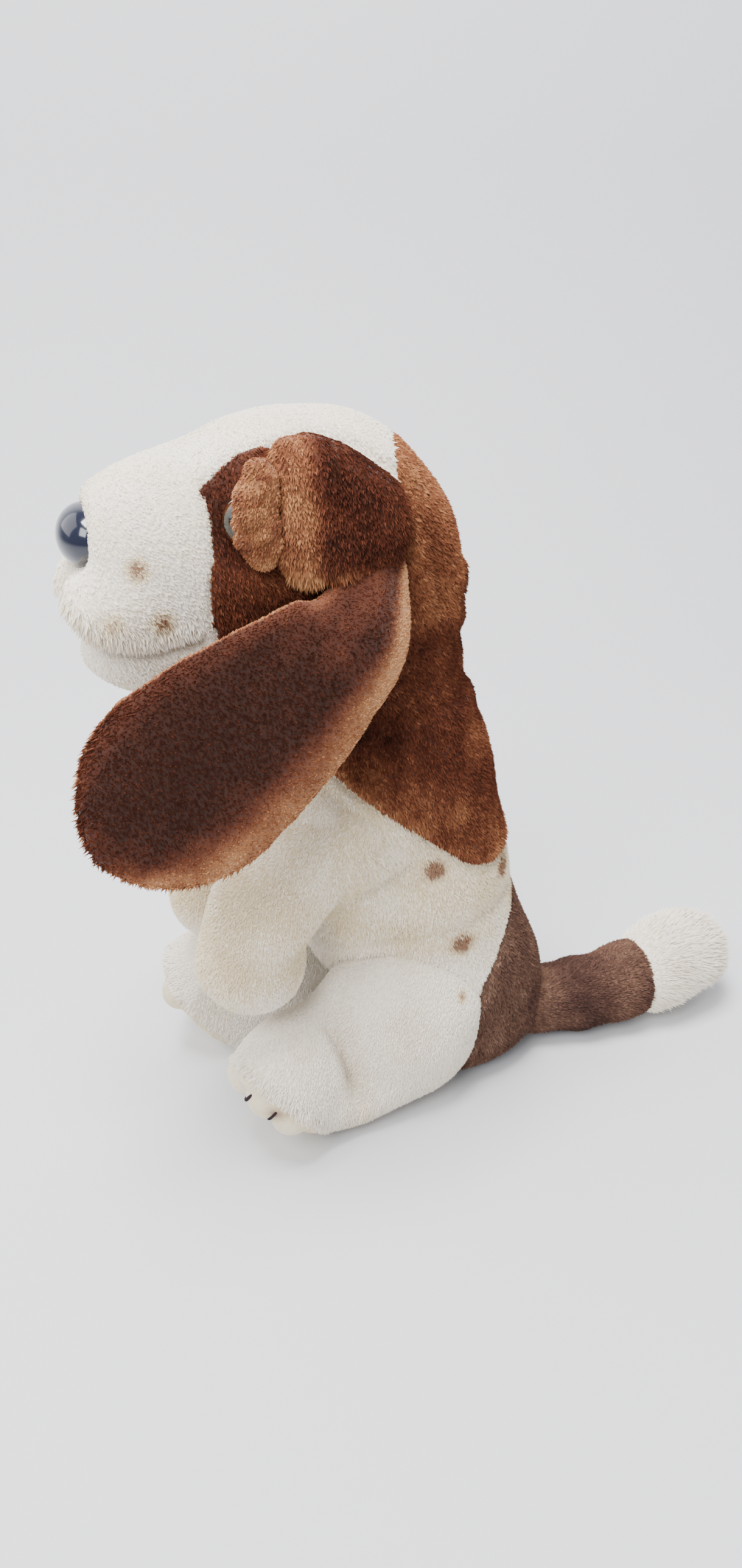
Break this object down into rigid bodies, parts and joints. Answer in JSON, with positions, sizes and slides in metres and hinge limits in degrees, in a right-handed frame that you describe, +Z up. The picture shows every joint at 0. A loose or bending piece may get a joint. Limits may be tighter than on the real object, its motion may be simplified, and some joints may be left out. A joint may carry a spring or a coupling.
{
  "type": "plush dog",
  "caption": "Sitting plush hound with stuffed fabric panels, long hinged ears, swinging forelegs, splaying hind legs, a nodding head and a liftable tail.",
  "frame": {"origin": "on the floor plane, under the middle of the bounding box", "axes": "+Z up; the dog faces -Y; +X is the dog's left side"},
  "size_m": [0.1206, 0.2781, 0.2763],
  "materials": {
    "cream_plush": "matte short pile",
    "brown_plush": "matte short pile",
    "pale_brown_plush": "matte short pile",
    "tan_plush": "matte short pile",
    "sole_pile": "matte short velvet pile",
    "nose_plastic": "gloss",
    "eye_plastic": "gloss",
    "washer_plastic": "matte",
    "fibre_fill": "loose white fibre"
  },
  "bodies": {
    "torso": {"cape_panel": "brown_plush", "rump_panel": "pale_brown_plush", "left_side_panel": "cream_plush", "right_side_panel": "cream_plush", "torso_stuffing": "fibre_fill"},
    "head": {"neck_stuffing": "fibre_fill", "nape_panel": "brown_plush", "chin_panel": "cream_plush", "muzzle_blaze_panel": "cream_plush", "left_face_panel": "brown_plush", "right_face_panel": "brown_plush", "nose_button": "nose_plastic", "nose_washer": "washer_plastic", "left_eye": "eye_plastic", "left_eye_washer": "washer_plastic", "left_eyelid": "tan_plush", "left_ear_fold": "brown_plush", "right_eye": "eye_plastic", "right_eye_washer": "washer_plastic", "right_eyelid": "tan_plush", "right_ear_fold": "brown_plush", "head_stuffing": "fibre_fill"},
    "left_ear": {"left_ear_outer": "brown_plush", "left_ear_lining": "tan_plush"},
    "right_ear": {"right_ear_outer": "brown_plush", "right_ear_lining": "tan_plush"},
    "left_foreleg": {"left_foreleg_cover": "cream_plush", "left_foreleg_stuffing": "fibre_fill"},
    "right_foreleg": {"right_foreleg_cover": "cream_plush", "right_foreleg_stuffing": "fibre_fill"},
    "left_hind_leg": {"left_hind_leg_cover": "cream_plush", "left_hind_leg_stuffing": "fibre_fill", "left_sole_pad": "sole_pile"},
    "right_hind_leg": {"right_hind_leg_cover": "cream_plush", "right_hind_leg_stuffing": "fibre_fill", "right_sole_pad": "sole_pile"},
    "tail": {"tail_cover": "brown_plush", "tail_tip_cover": "cream_plush", "tail_stuffing": "fibre_fill"}
  },
  "joints": [
    {"name": "head_nod", "type": "hinge", "parent": "torso", "child": "head", "pos_m": [0, -0.0312, 0.198], "axis": [1, 0, 0], "range_deg": [-8, 8], "stiffness_Nm_per_rad": 0.3},
    {"name": "left_ear_flop", "type": "hinge", "parent": "head", "child": "left_ear", "pos_m": [0.05, -0.0372, 0.243], "axis": [0, -1, 0], "range_deg": [0, 60]},
    {"name": "left_foreleg_swing", "type": "hinge", "parent": "torso", "child": "left_foreleg", "pos_m": [0.03, -0.0492, 0.14], "axis": [1, 0, 0], "range_deg": [-30, 0]},
    {"name": "left_hind_leg_splay", "type": "hinge", "parent": "torso", "child": "left_hind_leg", "pos_m": [0.019, 0.0068, 0.037], "axis": [0, 0, 1], "range_deg": [0, 15]},
    {"name": "right_ear_flop", "type": "hinge", "parent": "head", "child": "right_ear", "pos_m": [-0.05, -0.0372, 0.243], "axis": [0, 1, 0], "range_deg": [0, 60]},
    {"name": "right_foreleg_swing", "type": "hinge", "parent": "torso", "child": "right_foreleg", "pos_m": [-0.03, -0.0492, 0.14], "axis": [1, 0, 0], "range_deg": [-30, 0]},
    {"name": "right_hind_leg_splay", "type": "hinge", "parent": "torso", "child": "right_hind_leg", "pos_m": [-0.019, 0.0068, 0.037], "axis": [0, 0, -1], "range_deg": [0, 15]},
    {"name": "tail_lift", "type": "hinge", "parent": "torso", "child": "tail", "pos_m": [0.009, 0.0483, 0.037], "axis": [1, 0, 0], "range_deg": [0, 45]}
  ]
}
